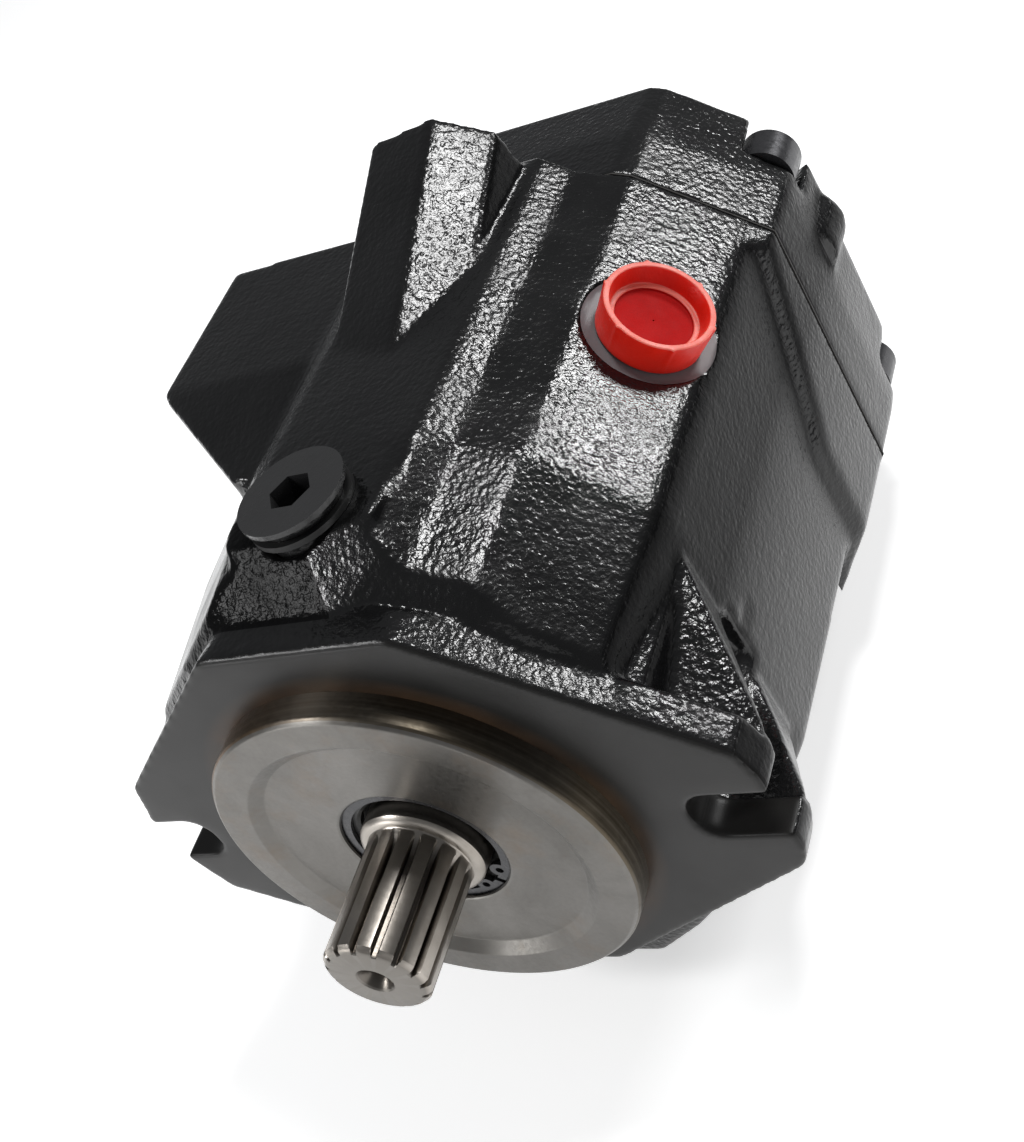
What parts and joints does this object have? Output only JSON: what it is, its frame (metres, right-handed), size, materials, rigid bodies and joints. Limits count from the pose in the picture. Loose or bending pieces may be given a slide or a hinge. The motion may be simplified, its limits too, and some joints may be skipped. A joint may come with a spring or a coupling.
{
  "type": "axial piston pump",
  "caption": "Swash-plate axial piston pump with a two-slot flange, splined shaft, rear ports and a pressure compensator.",
  "frame": {"origin": "centre of the pilot where it meets the mounting flange's front face, on the shaft axis", "axes": "-Y out along the drive shaft, +Y to the end cover and ports, +Z through the case plug, X through the two flange slots"},
  "size_m": [0.184, 0.231, 0.1708],
  "materials": {
    "black_paint": "gloss",
    "valve_black": "satin",
    "machined_steel": "satin",
    "spring_steel": "satin",
    "bronze": "satin",
    "black_bolts": "satin",
    "seal_rubber": "matte",
    "gasket_sheet": "matte",
    "red_plastic": "satin"
  },
  "bodies": {
    "pump_case": {"housing": "black_paint", "end_cover": "black_paint", "cover_gasket": "gasket_sheet", "cover_bolts": "black_bolts", "shaft_seal": "seal_rubber", "seal_retaining_ring": "spring_steel", "front_bearing_cup": "machined_steel", "rear_bearing_ring": "machined_steel", "swash_plate": "machined_steel", "cradle_bearing_left": "bronze", "cradle_bearing_right": "bronze", "valve_plate": "bronze", "valve_plate_pin": "machined_steel", "stroking_piston": "machined_steel", "stroking_sleeve": "machined_steel", "bias_piston": "machined_steel", "bias_sleeve": "machined_steel", "bias_spring": "spring_steel", "compensator_body": "valve_black", "compensator_screws": "black_bolts", "valve_plug": "machined_steel", "adjuster_plug": "machined_steel", "lock_nut": "machined_steel", "case_plug": "black_bolts", "case_plug_seal": "seal_rubber"},
    "rotor": {"drive_shaft": "machined_steel", "front_bearing_cone": "machined_steel", "cylinder_block": "machined_steel", "spring_washers": "machined_steel", "spring_snap_ring": "spring_steel", "block_spring": "spring_steel", "push_pins": "machined_steel", "ball_guide": "machined_steel"},
    "retainer": {"retainer_plate": "machined_steel"},
    "front_roller_set": {"front_bearing_rollers": "machined_steel"},
    "rear_roller_set": {"rear_bearing_rollers": "machined_steel"},
    "valve_spool": {"spool": "machined_steel", "spool_spring": "spring_steel"},
    "adjuster": {"adjusting_screw": "machined_steel"},
    "cap": {"shipping_cap": "red_plastic"},
    "slipper_body_1": {"slipper_1": "bronze"},
    "piston_body_1": {"piston_1": "machined_steel"},
    "slipper_body_2": {"slipper_2": "bronze"},
    "piston_body_2": {"piston_2": "machined_steel"},
    "slipper_body_3": {"slipper_3": "bronze"},
    "piston_body_3": {"piston_3": "machined_steel"},
    "slipper_body_4": {"slipper_4": "bronze"},
    "piston_body_4": {"piston_4": "machined_steel"},
    "slipper_body_5": {"slipper_5": "bronze"},
    "piston_body_5": {"piston_5": "machined_steel"},
    "slipper_body_6": {"slipper_6": "bronze"},
    "piston_body_6": {"piston_6": "machined_steel"},
    "slipper_body_7": {"slipper_7": "bronze"},
    "piston_body_7": {"piston_7": "machined_steel"},
    "slipper_body_8": {"slipper_8": "bronze"},
    "piston_body_8": {"piston_8": "machined_steel"},
    "slipper_body_9": {"slipper_9": "bronze"},
    "piston_body_9": {"piston_9": "machined_steel"}
  },
  "joints": [
    {"name": "shaft_spin", "type": "hinge", "parent": "pump_case", "child": "rotor", "pos_m": [0, 0, 0], "axis": [0, 1, 0], "continuous": true},
    {"name": "retainer_spin", "type": "hinge", "parent": "pump_case", "child": "retainer", "pos_m": [0, 0.062, 0], "axis": [0, 0.9659, -0.2588], "continuous": true},
    {"name": "front_rollers_spin", "type": "hinge", "parent": "pump_case", "child": "front_roller_set", "pos_m": [0, 0.012, 0], "axis": [0, 1, 0], "continuous": true},
    {"name": "rear_rollers_spin", "type": "hinge", "parent": "pump_case", "child": "rear_roller_set", "pos_m": [0, 0.156, 0], "axis": [0, 1, 0], "continuous": true},
    {"name": "spool_slide", "type": "slide", "parent": "pump_case", "child": "valve_spool", "axis": [0, 0, 1], "range_m": [-0.003, 0], "stiffness_N_per_m": 5000, "springref_m": 0.001, "deforming": ["spool_spring"]},
    {"name": "adjuster_turn", "type": "hinge", "parent": "pump_case", "child": "adjuster", "pos_m": [-0.0875, 0.12, -0.05], "axis": [0, 0, 1], "range_deg": [-180, 180]},
    {"name": "cap_pull", "type": "slide", "parent": "pump_case", "child": "cap", "axis": [0.6756, 0, 0.7373], "range_m": [0, 0.03]},
    {"name": "slipper_turn_1", "type": "hinge", "parent": "retainer", "child": "slipper_body_1", "pos_m": [0.03256, 0.062, 0], "axis": [0, 0.9659, -0.2588], "continuous": true},
    {"name": "piston_turn_1", "type": "hinge", "parent": "slipper_body_1", "child": "piston_body_1", "pos_m": [0.032, 0.062, 0], "axis": [0, 0.9659, -0.2588], "continuous": true},
    {"name": "slipper_turn_2", "type": "hinge", "parent": "retainer", "child": "slipper_body_2", "pos_m": [0.02495, 0.06742, 0.02022], "axis": [0, 0.9659, -0.2588], "continuous": true},
    {"name": "piston_turn_2", "type": "hinge", "parent": "slipper_body_2", "child": "piston_body_2", "pos_m": [0.02451, 0.06751, 0.02057], "axis": [0, 0.9659, -0.2588], "continuous": true},
    {"name": "slipper_turn_3", "type": "hinge", "parent": "retainer", "child": "slipper_body_3", "pos_m": [0.00565, 0.0703, 0.03098], "axis": [0, 0.9659, -0.2588], "continuous": true},
    {"name": "piston_turn_3", "type": "hinge", "parent": "slipper_body_3", "child": "piston_body_3", "pos_m": [0.00556, 0.07044, 0.03151], "axis": [0, 0.9659, -0.2588], "continuous": true},
    {"name": "slipper_turn_4", "type": "hinge", "parent": "retainer", "child": "slipper_body_4", "pos_m": [-0.01628, 0.0693, 0.02724], "axis": [0, 0.9659, -0.2588], "continuous": true},
    {"name": "piston_turn_4", "type": "hinge", "parent": "slipper_body_4", "child": "piston_body_4", "pos_m": [-0.016, 0.06943, 0.02771], "axis": [0, 0.9659, -0.2588], "continuous": true},
    {"name": "slipper_turn_5", "type": "hinge", "parent": "retainer", "child": "slipper_body_5", "pos_m": [-0.0306, 0.06488, 0.01076], "axis": [0, 0.9659, -0.2588], "continuous": true},
    {"name": "piston_turn_5", "type": "hinge", "parent": "slipper_body_5", "child": "piston_body_5", "pos_m": [-0.03007, 0.06493, 0.01094], "axis": [0, 0.9659, -0.2588], "continuous": true},
    {"name": "slipper_turn_6", "type": "hinge", "parent": "retainer", "child": "slipper_body_6", "pos_m": [-0.0306, 0.05912, -0.01076], "axis": [0, 0.9659, -0.2588], "continuous": true},
    {"name": "piston_turn_6", "type": "hinge", "parent": "slipper_body_6", "child": "piston_body_6", "pos_m": [-0.03007, 0.05907, -0.01094], "axis": [0, 0.9659, -0.2588], "continuous": true},
    {"name": "slipper_turn_7", "type": "hinge", "parent": "retainer", "child": "slipper_body_7", "pos_m": [-0.01628, 0.0547, -0.02724], "axis": [0, 0.9659, -0.2588], "continuous": true},
    {"name": "piston_turn_7", "type": "hinge", "parent": "slipper_body_7", "child": "piston_body_7", "pos_m": [-0.016, 0.05457, -0.02771], "axis": [0, 0.9659, -0.2588], "continuous": true},
    {"name": "slipper_turn_8", "type": "hinge", "parent": "retainer", "child": "slipper_body_8", "pos_m": [0.00565, 0.0537, -0.03098], "axis": [0, 0.9659, -0.2588], "continuous": true},
    {"name": "piston_turn_8", "type": "hinge", "parent": "slipper_body_8", "child": "piston_body_8", "pos_m": [0.00556, 0.05356, -0.03151], "axis": [0, 0.9659, -0.2588], "continuous": true},
    {"name": "slipper_turn_9", "type": "hinge", "parent": "retainer", "child": "slipper_body_9", "pos_m": [0.02495, 0.05658, -0.02022], "axis": [0, 0.9659, -0.2588], "continuous": true},
    {"name": "piston_turn_9", "type": "hinge", "parent": "slipper_body_9", "child": "piston_body_9", "pos_m": [0.02451, 0.05649, -0.02057], "axis": [0, 0.9659, -0.2588], "continuous": true}
  ],
  "couplings": [
    {"joint": "retainer_spin", "follows": "shaft_spin", "ratio": 1},
    {"joint": "front_rollers_spin", "follows": "shaft_spin", "ratio": 0.44},
    {"joint": "rear_rollers_spin", "follows": "shaft_spin", "ratio": 0.43},
    {"joint": "slipper_turn_1", "follows": "shaft_spin", "ratio": -2},
    {"joint": "piston_turn_1", "follows": "shaft_spin", "ratio": 1},
    {"joint": "slipper_turn_2", "follows": "shaft_spin", "ratio": -2},
    {"joint": "piston_turn_2", "follows": "shaft_spin", "ratio": 1},
    {"joint": "slipper_turn_3", "follows": "shaft_spin", "ratio": -2},
    {"joint": "piston_turn_3", "follows": "shaft_spin", "ratio": 1},
    {"joint": "slipper_turn_4", "follows": "shaft_spin", "ratio": -2},
    {"joint": "piston_turn_4", "follows": "shaft_spin", "ratio": 1},
    {"joint": "slipper_turn_5", "follows": "shaft_spin", "ratio": -2},
    {"joint": "piston_turn_5", "follows": "shaft_spin", "ratio": 1},
    {"joint": "slipper_turn_6", "follows": "shaft_spin", "ratio": -2},
    {"joint": "piston_turn_6", "follows": "shaft_spin", "ratio": 1},
    {"joint": "slipper_turn_7", "follows": "shaft_spin", "ratio": -2},
    {"joint": "piston_turn_7", "follows": "shaft_spin", "ratio": 1},
    {"joint": "slipper_turn_8", "follows": "shaft_spin", "ratio": -2},
    {"joint": "piston_turn_8", "follows": "shaft_spin", "ratio": 1},
    {"joint": "slipper_turn_9", "follows": "shaft_spin", "ratio": -2},
    {"joint": "piston_turn_9", "follows": "shaft_spin", "ratio": 1}
  ]
}
